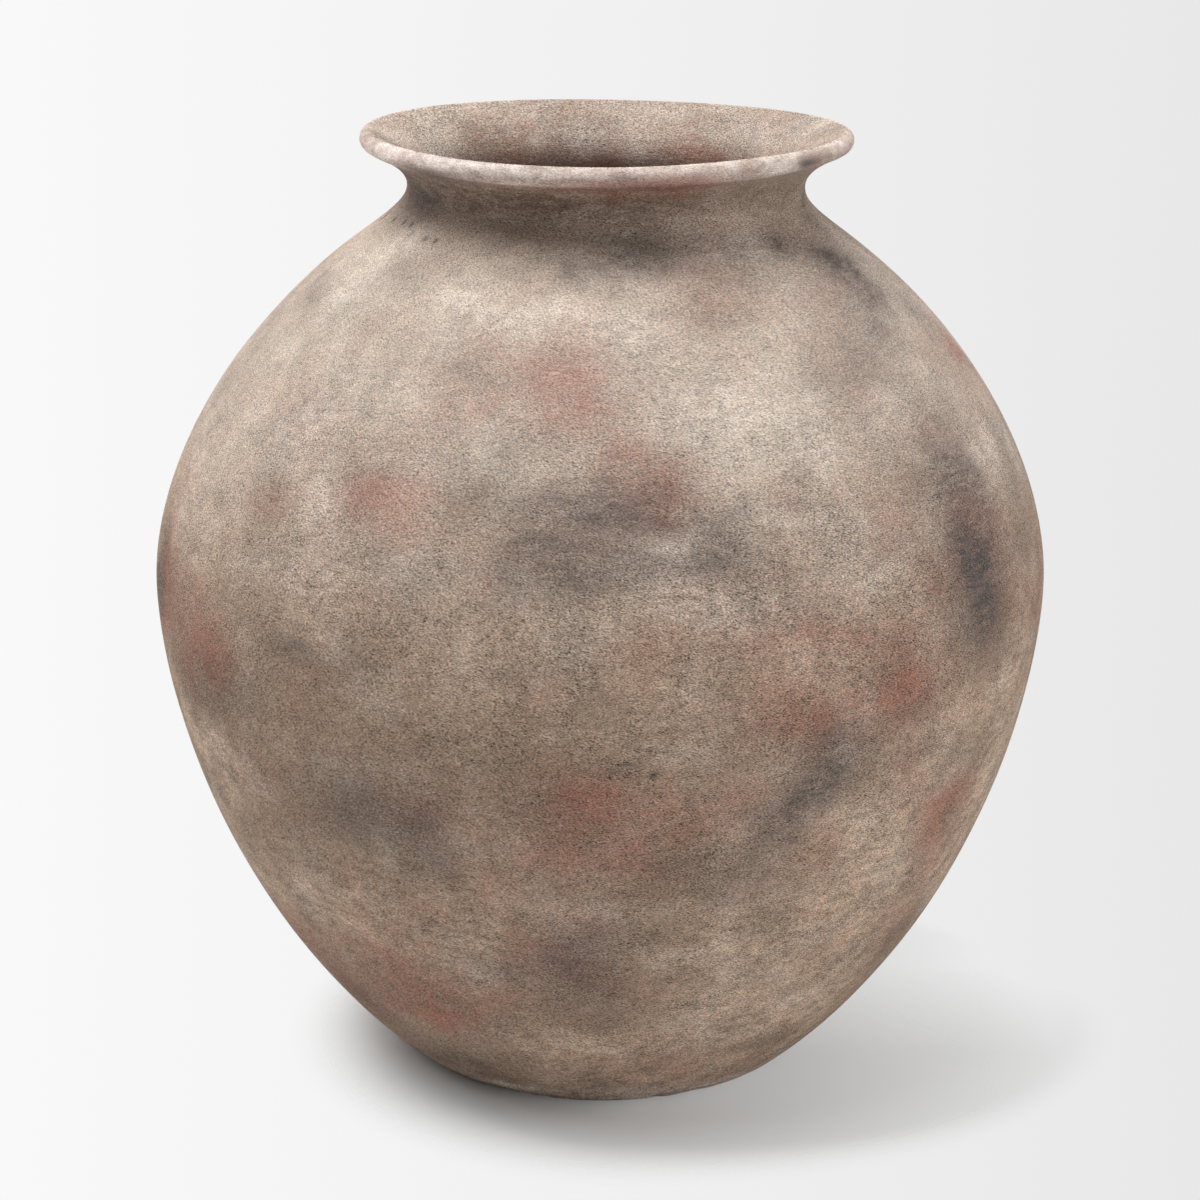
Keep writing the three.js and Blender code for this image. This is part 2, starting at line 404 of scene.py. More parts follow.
# Umber, darkest under the lip and down the left side. There, and low on the left under the belly, it is
# partly painted shade
UMBER_AND_SHADE = (
    (105, 215, 9, 16, 0.4), (140, 165, 12, 18, 0.4), (172, 120, 12, 16, 0.35), (-158, 175, 10, 18, 0.4),
    (-120, 215, 11, 16, 0.4), (-95, 95, 10, 16, 0.4), (-135, 290, 8, 14, 0.3), (120, 300, 9, 12, 0.3),
    (180, 412, 80, 10, 0.6), (165, 250, 10, 18, 0.3), (-72, 238, 5, 14, 0.4), (-57, 211, 11, 14, 0.5),
    (-52, 219, 4, 10, 0.35), (-30, 170, 13, 17, 0.35), (-5, 182, 9, 22, 0.3), (2, 90, 9, 14, 0.3),
    (-52, 48, 14, 26, 0.6), (-30, 68, 12, 16, 0.3), (-36, 20, 14, 14, 0.4), (57, 84, 8, 18, 0.45),
    (35, 38, 8, 6, 0.5), (-60, 127, 8, 9, 0.2), (-55, 139, 4, 6, 0.3), (-45, 151, 8, 8, 0.2),
    (8, 118, 6, 8, 0.35), (24, 126, 4, 9, 0.3), (-22, 206, 9, 12, 0.3), (-8, 209, 10, 10, 0.2),
    (-40, 218, 9, 12, 0.25), (-47, 296, 5, 14, 0.4), (23, 373, 6, 6, 0.3), (68, 266, 9, 12, 0.3),
    (15, 232, 4, 8, 0.2), (45, 302, 6, 12, 0.3), (-16, 307, 6, 7, 0.3), (5, 80, 6, 12, 0.25),
    (-20, 25, 12, 12, 0.3), (-5, 145, 8, 8, 0.15), (-30, 410, 55, 13, 0.4), (60, 410, 30, 13, 0.45),
    (25, 416, 14, 7, 0.2), (-58, 404, 9, 12, 0.3), (-20, 416, 65, 8, 0.85), (76, 402, 8, 8, 0.5),
    (71, 398, 5, 6, 0.3), (-40, 235, 6, 7, 0.35), (-30, 235, 4, 10, 0.35), (-74, 233, 4, 14, 0.55),
    (-62, 235, 6, 16, 0.3), (-48, 178, 4, 12, 0.25), (-52, 45, 5, 14, 0.25), (-43, 33, 5, 9, 0.25),
    (-22, 12, 6, 5, 0.35), (33, 71, 9, 4, 0.25), (10, 172, 3, 6, 0.3), (15, 200, 5, 8, 0.15),
    (-57, 194, 7, 10, 0.35), (-23, 186, 4, 10, 0.25), (-47, 279, 6, 8, 0.25), (73, 287, 4, 12, 0.3),
    (62, 318, 4, 16, 0.15), (53, 221, 3, 9, 0.25), (-43, 135, 4, 14, 0.4), (-48, 104, 4, 12, 0.2),
    (-8, 95, 5, 18, 0.2), (25, 84, 5, 7, 0.25), (45, 143, 3, 7, 0.25), (-27, 54, 5, 10, 0.2),
    (-50, 45, 4, 12, 0.2), (-38, 13, 8, 8, 0.35), (-23, 13, 6, 6, 0.35), (12, 139, 14, 6, 0.35),
    (19, 243, 4, 5, 0.15), (-23, 253, 4, 7, 0.15), (33, 104, 3, 6, 0.15), (35, 330, 4, 12, 0.12),
    (-74, 250, 7, 20, 0.6), (-59, 204, 9, 15, 0.5), (-73, 232, 5, 14, 0.4), (0, 200, 12, 10, 0.15),
    (10, 150, 10, 14, 0.2), (-58, 238, 16, 20, 0.25), (-38, 230, 12, 14, 0.15),
    (-50, 205, 10, 14, 0.15), (-2, 300, 16, 20, 0.25), (0, 280, 14, 12, 0.12), (50, 320, 9, 18, 0.2),
    (-50, 72, 6, 12, 0.25), (-10, 70, 14, 10, 0.2), (2, 65, 8, 8, 0.25), (-25, 40, 8, 14, 0.25),
    (-5, 70, 6, 8, 0.15), (58, 385, 9, 10, 0.25), (-32, 315, 8, 12, 0.12), (-20, 190, 16, 10, 0.12),
    (-42, 255, 10, 10, 0.1), (0, 392, 30, 8, 0.15), (35, 310, 6, 10, 0.08), (75, 340, 8, 14, 0.12),
    (-75, 235, 4, 18, 0.3), (66, 266, 4, 10, 0.3), (53, 262, 8, 32, 0.3), (36, 234, 7, 12, 0.2),
    (50, 236, 4, 7, 0.3), (12, 392, 7, 9, 0.3), (8, 404, 7, 8, 0.35), (74, 394, 5, 8, 0.3),
    (78, 305, 5, 10, 0.1), (-42, 160, 6, 6, 0.15),
)
# Smoke from the kiln: broken grey patches and streaks. The dark dabs at the front of the neck and just
# under the lip on the left are partly painted shade from the lip
SMOKE_AND_SHADE = (
    (118, 262, 7, 16, 0.55), (126, 240, 5, 12, 0.4), (150, 318, 9, 12, 0.45), (-172, 285, 6, 22, 0.6),
    (-163, 262, 5, 12, 0.35), (-140, 232, 8, 10, 0.4), (-112, 330, 8, 12, 0.4),
    (-103, 252, 5, 16, 0.45), (104, 160, 6, 14, 0.4), (134, 112, 8, 12, 0.4), (176, 160, 8, 10, 0.35),
    (-148, 128, 7, 16, 0.45), (-118, 112, 6, 10, 0.35), (112, 378, 9, 8, 0.4), (-152, 384, 8, 7, 0.45),
    (170, 372, 7, 8, 0.3), (-98, 372, 8, 6, 0.35), (156, 72, 9, 10, 0.3), (-130, 40, 10, 9, 0.3),
    (98, 312, 6, 12, 0.3), (-38, 239, 4, 8, 0.35), (-46, 247, 4, 6, 0.2), (-31, 171, 8, 13, 0.4),
    (-22, 164, 3.5, 16, 0.45, 0.1), (-20, 147, 3, 7, 0.35), (-37, 158, 5, 7, 0.2),
    (-4, 100, 6, 18, 0.5), (-1, 84, 7, 12, 0.25), (-31, 22, 9, 7, 0.45), (0, 304, 6, 7, 0.55),
    (-2, 279, 6, 7, 0.48), (-9, 288, 4, 7, 0.35), (-5, 291, 7, 8, 0.35), (-3, 311, 5, 5, 0.25),
    (12, 283, 6, 5, 0.5), (15.5, 290, 4, 8, 0.55), (6, 288, 3, 6, 0.35), (7, 304, 5, 7, 0.25),
    (12, 298, 5, 4, 0.35), (2, 289, 3, 6, 0.3), (-10, 304, 5, 8, 0.25), (16, 303, 5, 6, 0.2),
    (52.5, 265, 6.5, 30, 0.78), (53, 243, 5, 11, 0.45), (55, 301, 6, 15, 0.5), (50, 308, 4, 8, 0.25),
    (29, 205, 4, 9, 0.4), (20, 175, 4, 7, 0.22), (47, 372, 8, 10, 0.1), (-52, 372, 12, 14, 0.12),
    (66, 376, 4, 6, 0.25), (28, 192, 4.5, 11, 0.6), (24.5, 178, 5, 11, 0.68), (21, 162, 4.5, 9, 0.45),
    (17, 148, 5, 7, 0.35), (9, 157, 5, 9, 0.4), (-25, 282, 5, 9, 0.3), (-9, 273, 3, 7, 0.25),
    (-3, 118, 4, 9, 0.4), (67, 377, 4, 5, 0.35), (53, 368, 5, 6, 0.3), (60, 292, 3, 12, 0.3),
    (38, 212, 3, 6, 0.2), (5, 393, 10, 9, 0.62), (-64, 409, 12, 9, 0.7), (47, 393, 4, 5, 0.55),
    (60, 383, 7, 6, 0.7), (61, 369, 5, 8, 0.5), (56, 358, 6, 8, 0.4), (66, 378, 5, 6, 0.4),
    (46, 349, 9, 12, 0.35), (-47, 382, 8, 7, 0.4), (-70, 367, 9, 6, 0.35), (-8, 387, 3, 4, 0.35),
    (-4, 182, 5, 14, 0.15), (-53, 214, 5, 12, 0.15), (-51, 48, 5, 8, 0.2), (-75, 330, 7, 16, 0.12),
    (60, 325, 3, 6, 0.15), (-74, 236, 4, 14, 0.5), (55, 66, 6, 8, 0.15), (-10, 241, 4, 8, 0.25),
    (-13, 282, 5, 8, 0.15), (74, 358, 5, 8, 0.2),
)
# Iron red, in soft rusty patches
IRON = (
    (110, 286, 8, 12, 0.35), (134, 214, 8, 14, 0.4), (158, 292, 7, 10, 0.35), (178, 235, 9, 12, 0.4),
    (-155, 320, 9, 11, 0.35), (-128, 258, 8, 12, 0.4), (-108, 208, 7, 14, 0.4),
    (-160, 150, 8, 12, 0.35), (100, 190, 6, 10, 0.35), (146, 138, 9, 10, 0.3), (-135, 82, 10, 13, 0.35),
    (118, 62, 9, 12, 0.3), (-98, 300, 6, 10, 0.3), (168, 346, 8, 9, 0.25), (-175, 96, 8, 12, 0.3),
    (-58, 232, 8, 13, 0.15), (-61, 210, 5, 9, 0.3), (-54, 222, 5, 12, 0.4), (-70, 240, 5, 14, 0.32),
    (-70, 222, 5, 8, 0.3), (-65, 256, 7, 8, 0.05), (-8, 351, 9, 10, 0.42), (-4, 357, 5, 5, 0.2),
    (-21, 360, 5, 9, 0.25), (-15, 340, 9, 8, 0.12), (-2, 340, 6, 9, 0.25), (3, 326, 5, 9, 0.35),
    (7, 314, 4.5, 9, 0.3), (9, 305, 4, 7, 0.35), (1, 314, 6, 10, 0.15), (-31, 304, 7, 10, 0.32),
    (-24, 292, 7, 10, 0.28), (-45, 296, 5, 8, 0.2), (-1, 186, 7, 13, 0.5), (5, 171, 8, 7, 0.3),
    (-3, 163, 7, 9, 0.3), (5, 156, 6, 7, 0.25), (38, 224, 6, 14, 0.55), (31, 226, 5, 8, 0.25),
    (24, 214, 6, 9, 0.6), (27, 252, 9, 6, 0.3), (37, 241, 4, 8, 0.3), (34, 247, 6, 8, 0.25),
    (21, 230, 4, 8, 0.25), (51, 160, 5, 10, 0.6), (52, 156, 3, 7, 0.35), (-60, 248, 5, 10, 0.2),
    (-4, 117, 5, 10, 0.15), (-12, 97, 6, 6, 0.15), (50, 145, 5, 8, 0.35), (53, 122, 4, 10, 0.15),
    (-31, 78, 10, 14, 0.38), (-28, 60, 9, 12, 0.5), (-38, 52, 6, 8, 0.25), (-15, 78, 5, 6, 0.25),
    (-52, 50, 6, 16, 0.25), (-9, 109, 5, 12, 0.3), (-3, 98, 5, 14, 0.25), (79, 336, 6, 12, 0.55),
    (74, 230, 4, 14, 0.2), (52, 280, 4, 16, 0.2), (-48, 82, 5, 12, 0.2), (-4, 130, 6, 18, 0.2),
    (-9, 332, 5, 7, 0.25), (-6, 352, 5, 6, 0.1), (-3, 297, 5, 9, 0.12), (21, 263, 4, 9, 0.12),
    (58, 285, 6, 16, 0.15), (55, 262, 6, 14, 0.12), (20, 5, 30, 6, 0.12), (29, 400, 6, 7, 0.12),
    (76, 346, 4, 10, 0.15), (39, 17, 8, 10, 0.15), (29, 399, 6, 7, 0.2), (27, 204, 4, 7, 0.2),
    (46, 262, 5, 10, 0.25), (54, 287, 5, 8, 0.35), (60, 270, 5, 10, 0.25), (40, 284, 4, 10, 0.2),
    (-27, 105, 3, 5, 0.2), (-20, 176, 5, 9, 0.2), (14, 187, 5, 8, 0.25), (5, 86, 6, 10, 0.15),
    (22, 378, 10, 9, 0.15), (-22, 330, 5, 16, 0.12), (-57, 76, 4, 10, 0.25), (52, 310, 16, 26, 0.08),
    (78, 310, 5, 14, 0.12), (-48, 178, 4, 8, 0.1), (-49, 146, 4, 6, 0.12), (-35, 92, 8, 6, 0.15),
    (-20, 20, 30, 14, 0.06),
)
# Chalk, on the shoulder and the neck and round the foot. On the left of the shoulder it is partly painted
# light from the left
CHALK_AND_LIGHT = (
    (-47, 325, 6, 11, 0.35), (-46, 350, 8, 10, 0.15), (-28, 360, 4, 9, 0.3), (3, 356, 8, 6, 0.3),
    (-15, 325, 6, 9, 0.2), (-33, 316, 4, 6, 0.2), (47, 328, 5, 10, 0.3), (-75, 373, 7, 6, 0.3),
    (27, 400, 7, 8, 0.15), (12, 17, 3, 7, 0.15), (25, 17, 3, 7, 0.15), (43, 18, 3, 7, 0.15),
    (-50, 372, 12, 12, 0.2), (8, 284, 5, 8, 0.2), (14, 268, 7, 8, 0.3), (-67, 275, 6, 12, 0.2),
    (20, 7, 22, 5, 0.3), (-26, 4, 6, 4, 0.5), (-55, 393, 7, 6, 0.3), (130, 352, 14, 8, 0.35),
    (-140, 350, 13, 8, 0.35), (178, 330, 9, 10, 0.3), (105, 335, 6, 12, 0.3), (-120, 290, 6, 9, 0.25),
    (142, 268, 6, 8, 0.2), (-165, 366, 9, 7, 0.3), (150, 392, 8, 5, 0.3), (-110, 388, 8, 5, 0.3),
    (180, 3, 70, 4, 0.5), (-15, 373, 15, 6, 0.45), (-28, 376, 6, 8, 0.3), (-60, 374, 7, 14, 0.4),
    (-62, 344, 5, 5, 0.25), (22, 334, 13, 15, 0.3), (5, 366, 7, 6, 0.4), (14, 343, 8, 8, 0.25),
    (-35, 345, 10, 5, 0.2), (-39, 300, 4, 12, 0.35), (22, 298, 5, 6, 0.25), (28, 318, 5, 10, 0.2),
    (36, 395, 5, 5, 0.5), (28, 391, 6, 5, 0.3), (77, 386, 6, 8, 0.4), (66, 306, 5, 11, 0.35),
    (78, 302, 4, 14, 0.35), (-70, 305, 5, 8, 0.15), (35, 270, 4, 7, 0.3), (7, 268, 4, 8, 0.12),
    (9, 293, 2.5, 3, 0.3), (-4, 362, 9, 6, 0.2), (-37, 269, 5, 6, 0.2), (-22, 285, 6, 8, 0.15),
    (68, 357, 7, 5, 0.2), (14, 4, 26, 5, 0.6), (-23, 3, 8, 4, 0.6), (-60, 390, 6, 6, 0.2),
)
# The rounded lip: chalky all round, with red and grey wear. Its pale top is partly a painted highlight, and
# the grey near its lower edge is partly painted shade under the roll
LIP_CHALK_AND_HIGHLIGHT = (
    (0, 433, 180, 16, 0.5), (-36, 430, 32, 9, 0.65), (44, 431, 12, 5, 0.35), (72, 432, 10, 5, 0.3),
)
LIP_IRON = (
    (9, 424, 17, 5, 0.75), (19, 427, 8, 4, 0.45), (-8, 425, 10, 3, 0.35), (-50, 430, 5, 4, 0.4),
    (54, 429, 6, 4, 0.6), (84, 430, 7, 5, 0.3), (-75, 431, 9, 5, 0.35), (32, 429, 2, 3, 0.5),
    (-38, 426, 16, 3, 0.3), (70, 427, 8, 4, 0.35), (-20, 434, 14, 2, 0.2), (2, 429, 16, 6, 0.2),
)
# Grey on the lip: the dabs near its lower edge are painted shade under the roll, the rest is wear
LIP_SMOKE_AND_SHADE = (
    (-42, 425, 9, 3, 0.5), (50, 428.5, 3.5, 3, 0.85), (54, 428, 3, 2, 0.4), (-46, 426, 12, 2.5, 0.65),
    (-32, 429.5, 4, 2, 0.4), (68, 426, 9, 3, 0.4), (-28, 426, 7, 2, 0.35), (50, 426, 8, 3, 0.25),
    (-14, 427, 5, 2, 0.3), (2, 430, 3, 2, 0.2), (36, 425, 7, 2, 0.3), (12, 423.5, 14, 2.5, 0.5),
    (-4, 423, 8, 2, 0.35),
)
# The flaring inside of the mouth, most of it on the far side
FUNNEL_IRON = (
    (180, 411, 60, 7, 0.15), (165, 416, 9, 8, 0.1), (150, 411, 10, 6, 0.25), (-165, 414, 8, 6, 0.15),
    (-150, 418, 7, 8, 0.25), (-135, 418, 6, 5, 0.2), (-170, 428, 5, 4, 0.15), (105, 414, 10, 6, 0.15),
    (128, 427, 8, 4, 0.1), (-178, 407, 8, 4, 0.4), (-150, 408, 8, 4, 0.35), (138, 409, 9, 5, 0.3),
    (115, 411, 8, 4, 0.35),
)
FUNNEL_UMBER = (
    (180, 405, 90, 8, 0.3), (-140, 415, 9, 8, 0.4), (-157, 412, 7, 6, 0.15), (150, 414, 10, 8, 0.15),
    (174, 410, 10, 4, 0.15), (125, 412, 7, 6, 0.25), (-124, 413, 6, 5, 0.2), (155, 428, 6, 4, 0.2),
    (-175, 426, 6, 4, 0.15), (-135, 424, 6, 5, 0.25), (-100, 412, 9, 6, 0.1), (138, 411, 9, 6, 0.35),
    (95, 414, 8, 6, 0.2), (-70, 415, 12, 8, 0.3), (60, 415, 14, 8, 0.3), (0, 415, 40, 8, 0.35),
)
FUNNEL_CHALK = (
    (-157, 416, 5, 3, 0.3), (168, 417, 6, 8, 0.3), (-172, 421, 6, 4, 0.25), (160, 429, 8, 3, 0.25),
    (126, 424, 7, 6, 0.35), (-98, 426, 9, 6, 0.35), (-112, 419, 10, 7, 0.35), (-172, 415, 6, 8, 0.35),
    (135, 425, 8, 5, 0.35), (112, 430, 12, 4, 0.25), (176, 430, 12, 3, 0.2), (-128, 430, 10, 3, 0.2),
    (171, 411, 5, 5, 0.25),
)

# The dabs have ragged edges up to the neck, and nearly clean ones on the lip
RAGGED_TOP = 0.40
RAGGED_FADE = 0.02
RAGGED_LEAST = 0.1
COARSE_RAGS = 40
FINE_RAGS = 95
COARSE_TURN = 1.6
FINE_TURN = 1.3
COARSE_RISE_MM = 6
FINE_RISE_MM = 4
# The lip's pale colour ends sharply at this height, a painted edge between the lit lip and the shade under
# it
LIP_EDGE = 0.4238
LIP_EDGE_FADE = 0.0014
INSIDE_FROM = 0.012
# Each pit gets a dark touch of painted shade in its hollow
PIT_SHADE = 0.85
CHIP_CHALK = 0.5
# Umber and its painted shade are mostly kept off the lip
UMBER_AND_SHADE_LOST_ON_LIP = 0.8


def clouded(spots, scale, seed):
    """Soft noise from -1 to 1 at every spot."""
    shift = Vector((seed, seed, seed))
    return np.array([noise.noise(Vector(spot) * scale + shift) for spot in spots])


spots = read(vase.data.vertices, "co", 3)
normals = read(vase.data.vertices, "normal", 3)
ring = np.hypot(spots[:, 0], spots[:, 1])
outward = (normals[:, :2] * spots[:, :2]).sum(1) / np.maximum(ring, 1e-6)
within = np.clip(0.5 - 2 * outward, 0, 1) * (spots[:, 2] > INSIDE_FROM)
without = 1 - within
# The lip above its lower edge, where its painted highlight lies
rim = np.clip((spots[:, 2] - LIP_EDGE) / LIP_EDGE_FADE, 0, 1)
ragged = np.clip((RAGGED_TOP - spots[:, 2]) / RAGGED_FADE, RAGGED_LEAST, 1)
bearings = np.degrees(np.arctan2(spots[:, 0], -spots[:, 1]))
turns = COARSE_TURN * clouded(spots, COARSE_RAGS, 3) + FINE_TURN * clouded(spots, FINE_RAGS, 7)
bearings += ragged * turns
rises = COARSE_RISE_MM * clouded(spots, COARSE_RAGS, 11) + FINE_RISE_MM * clouded(spots, FINE_RAGS, 19)
heights = 1000 * spots[:, 2] + ragged * rises


def dabbed(dabs):
    """How much of a colour lies at every spot after all its dabs."""
    bare = np.ones(len(spots))
    for bearing, height, half_width, half_height, strength, *slant in dabs:
        middle = bearing + (slant[0] * (heights - height) if slant else 0)
        turn = (bearings - middle + 180) % 360 - 180
        away = np.square(turn / half_width) + np.square((heights - height) / half_height)
        bare *= 1 - strength * np.exp(-away)
    return 1 - bare


def marked(marks, strength):
    """A small round touch on every pit or chip: painted shade in a pit, a pale touch on a chip."""
    touched = np.zeros(len(spots))
    for bearing, height, radius, depth in marks:
        away = distance_mm(spots, bearing, height, outward) / radius
        touched = np.maximum(touched, strength * np.exp(-np.square(away)))
    return touched


def keep(name, values):
    """The values go onto the vase's points under a name, for the look of the clay."""
    layer = vase.data.attributes.new(name, "FLOAT", "POINT")
    layer.data.foreach_set("value", values.astype(np.float32))


# Smoke grey, partly painted shade on the neck under the lip and along the lip's lower edge
smoky_and_shaded = dabbed(SMOKE_AND_SHADE + LIP_SMOKE_AND_SHADE) * without
# Umber, with painted shade under the lip, down the left side and low under the belly
umber_and_shade_outside = dabbed(UMBER_AND_SHADE) * without * (1 - UMBER_AND_SHADE_LOST_ON_LIP * rim)
# Chalk, partly painted light on the left of the shoulder, with pale touches on the chips
chalk_and_light_outside = np.maximum(dabbed(CHALK_AND_LIGHT) * (1 - rim) * without, marked(CHIPS, CHIP_CHALK))
# Chalk on the lip, whitened as a painted highlight on its lit top
chalky_lip_and_highlight = dabbed(LIP_CHALK_AND_HIGHLIGHT) * (1 - dabbed(LIP_IRON)) * (1 - dabbed(LIP_SMOKE_AND_SHADE))
# The painted shade in the pits goes in with the smoke
keep("smoke_and_shade", np.maximum(smoky_and_shaded, marked(PITS, PIT_SHADE)))
keep("iron", dabbed(IRON + LIP_IRON) * without + dabbed(FUNNEL_IRON) * within)
keep("umber_and_shade", umber_and_shade_outside + dabbed(FUNNEL_UMBER) * within)
keep("chalk_and_light", chalk_and_light_outside + dabbed(FUNNEL_CHALK) * within)
# The lip's pale colour and painted highlight stop sharply at its lower edge
keep("lip", chalky_lip_and_highlight * rim * without)
# Pale clay, partly painted light low down on the right
keep("sand_and_light", dabbed(SAND_AND_LIGHT) * without)
keep("within", within)

# What the hand left in the form: the pits and chips, a slow unevenness of the wall, a foot,
# shoulder and mouth that lie a little to the right, and a mouth that leans and dips.
FOOT_DRIFT = 0.0011
SHOULDER_DRIFT = 0.0021
MOUTH_DRIFT = 0.0009
DRIFT_BEND = 1.5
MOUTH_LEAN_FORWARDS = radians(0.9)
MOUTH_LEAN_ASIDE = radians(0.32)
RIM_DIP = 0.001
RIM_CREST_ANGLE = radians(-17)
UNEVENNESS = 0.00025
UNEVEN_SCALE = 22
EVEN_FOOT = 0.02

top = THROAT_HEIGHT + LIP_RISE
x, y, z = spots.T
pressed = UNEVENNESS * clouded(spots, UNEVEN_SCALE, 5) * np.clip(z / EVEN_FOOT, 0, 1)
for bearing, height, radius, depth in PITS + CHIPS:
    away = distance_mm(spots, bearing, height, outward) / radius
    pressed -= depth / 1000 * np.exp(-np.square(away))
below = np.maximum(BELLY_HEIGHT - z, 0) / BELLY_HEIGHT
above = np.maximum(z - BELLY_HEIGHT, 0) / (top - BELLY_HEIGHT)
up_neck = np.clip((z - SHOULDER_HEIGHT) / (THROAT_HEIGHT - SHOULDER_HEIGHT), 0, 1)
up_neck = up_neck * up_neck * (3 - 2 * up_neck)
drift = FOOT_DRIFT * below ** DRIFT_BEND + SHOULDER_DRIFT * above ** DRIFT_BEND + MOUTH_DRIFT * up_neck
lean = y * tan(MOUTH_LEAN_FORWARDS) - x * tan(MOUTH_LEAN_ASIDE)
dip = RIM_DIP * np.cos(2 * (np.arctan2(y, x) - RIM_CREST_ANGLE))
shaped = spots + normals * pressed[:, None]
shaped[:, 0] += drift
shaped[:, 2] += up_neck * (lean + dip) + PAD_THICKNESS
shaped[:, 2] = np.maximum(shaped[:, 2], PAD_THICKNESS)
vase.data.vertices.foreach_set("co", shaped.ravel())
vase.data.update()
bpy.ops.object.shade_smooth()

# The surface of the clay: matte and sandy, with fine grain that drags a little round the pot.
# The colours lie thin over it and break up on the grain.
# Some of these colours also carry painted light and shade: pale clay, wash and chalk white stand in for
# light in places, umber brown and smoke grey for shade, and the lip white for a highlight.
CLAY = (0.375, 0.275, 0.204, 1)
PALE_CLAY_AND_LIGHT = (0.56, 0.425, 0.32, 1)
INSIDE_BROWN = (0.30, 0.19, 0.145, 1)
WASH_AND_TOP_LIGHT = (0.56, 0.47, 0.396, 1)
UMBER_AND_SHADE_BROWN = (0.15, 0.105, 0.077, 1)
IRON_RED = (0.32, 0.12, 0.085, 1)
SMOKE_AND_SHADE_GREY = (0.088, 0.078, 0.074, 1)
CHALK_AND_LIGHT_WHITE = (0.74, 0.65, 0.57, 1)
LIP_WHITE_AND_HIGHLIGHT = (0.92, 0.81, 0.755, 1)
WARM = (1.07, 1.0, 0.94, 1)
COOL = (0.955, 1.0, 1.04, 1)

# The pale wash grows from the belly up to the shoulder, partly as painted light from above, and is half
# worn off the neck outside, partly as painted shade under the lip
WASH_AND_LIGHT_FROM = 0.225
WASH_AND_LIGHT_TO = 0.35
WASH_AND_LIGHT_MOST = 0.92
WORN_AND_SHADE_FROM = 0.388
WORN_AND_SHADE_TO = 0.408
WORN_AND_SHADE_MOST = 0.5

# The grain is strong on the belly and weaker on the shoulder. The neck has more of it than the
# shoulder and the lip has less. The inside counts as lower down, so that it keeps its grain.
SHOULDER_FROM = 0.27
SHOULDER_TO = 0.35
NECK_FROM = 0.385
NECK_TO = 0.405
LIP_FROM = 0.418
LIP_TO = 0.43
GRAIN_ON_BELLY = 1.25
GRAIN_ON_SHOULDER = 0.8
NECK_GAIN = 1.35
LIP_GAIN = 0.45
INSIDE_DROP = 0.1
BRIGHTNESS = 1.165

# Cloudy stains show where their noise is high. The mottle and the streaks lie flat round the pot.
STAIN_FROM = 0.47
STAIN_TO = 0.75
RELIEF_DEPTH = 0.0012
MOTTLE_FLATNESS = 2.2
STREAK_FLATNESS = 4
GRAIN_LEAN = radians(18)
GRAIN_SIZE = (1.25, 1.25, 0.33)


def noisy(tree, vector, scale, detail, roughness, distortion=0):
    """Noise from 0 to 1, mostly near a half."""
    inputs = {"Vector": vector, "Scale": scale, "Detail": detail, "Roughness": roughness}
    return add(tree, "TexNoise", {**inputs, "Distortion": distortion}).outputs[0]


def mixed(tree, amount, one, other, blend="MIX"):
    """One colour with another laid over it, by an amount from 0 to 1."""
    made = add(tree, "Mix", {0: amount, 6: one, 7: other}, data_type="RGBA", blend_type=blend)
    return made.outputs[2]


def swing(noise, spread, most):
    """A value within most of 0, as noise goes within spread of a half."""
    return grade(skin, noise, 0.5 - spread, 0.5 + spread, -most, most)


def laid(name):
    """How much of a colour shows, broken up by the clouds, the mottle and the streaks."""
    amount = add(skin, "Attribute", {}, attribute_name=name).outputs["Fac"]
    return add(skin, "Math", {0: amount, 1: broken}, operation="MULTIPLY", use_clamp=True).outputs[0]


clay = bpy.data.materials.new("clay")
clay.use_nodes = True
skin = clay.node_tree
surface = skin.nodes["Principled BSDF"]
surface.inputs["Roughness"].default_value = 0.95
surface.inputs["Specular IOR Level"].default_value = 0.25
spot = add(skin, "TexCoord", {}).outputs["Object"]
high = add(skin, "SeparateXYZ", {0: spot}).outputs["Z"]
indoors = add(skin, "Attribute", {}, attribute_name="within").outputs["Fac"]
outdoors = calc(skin, "SUBTRACT", 1, indoors)
dragged = add(skin, "Mapping", {"Vector": spot, "Scale": (1, 1, MOTTLE_FLATNESS)}).outputs[0]
brushed = add(skin, "Mapping", {"Vector": spot, "Scale": (1, 1, STREAK_FLATNESS)}).outputs[0]
leaning = {"Vector": spot, "Rotation": (0, GRAIN_LEAN, 0), "Scale": GRAIN_SIZE}
slanted = add(skin, "Mapping", leaning, vector_type="TEXTURE").outputs[0]

clouds = noisy(skin, spot, scale=45, detail=3, roughness=0.65)
mottle = noisy(skin, dragged, scale=150, detail=3, roughness=0.6)
streaks = noisy(skin, brushed, scale=100, detail=3, roughness=0.65)
grain = noisy(skin, slanted, scale=1300, detail=1, roughness=0.5)
strokes = noisy(skin, slanted, scale=700, detail=1, roughness=0.5)
tint = noisy(skin, spot, scale=500, detail=3, roughness=0.75)
rosy = noisy(skin, spot, scale=23, detail=4, roughness=0.65)
ashy = noisy(skin, spot, scale=29, detail=4, roughness=0.65)
chalky = noisy(skin, spot, scale=35, detail=4, roughness=0.65)
broken = grade(skin, clouds, 0.4, 0.57, 0.75, 1.2)
broken = calc(skin, "ADD", broken, swing(mottle, 0.15, 0.25))
broken = calc(skin, "ADD", broken, swing(streaks, 0.15, 0.22))

# Pale clay, partly painted light low down on the right
colour = mixed(skin, laid("sand_and_light"), CLAY, PALE_CLAY_AND_LIGHT)
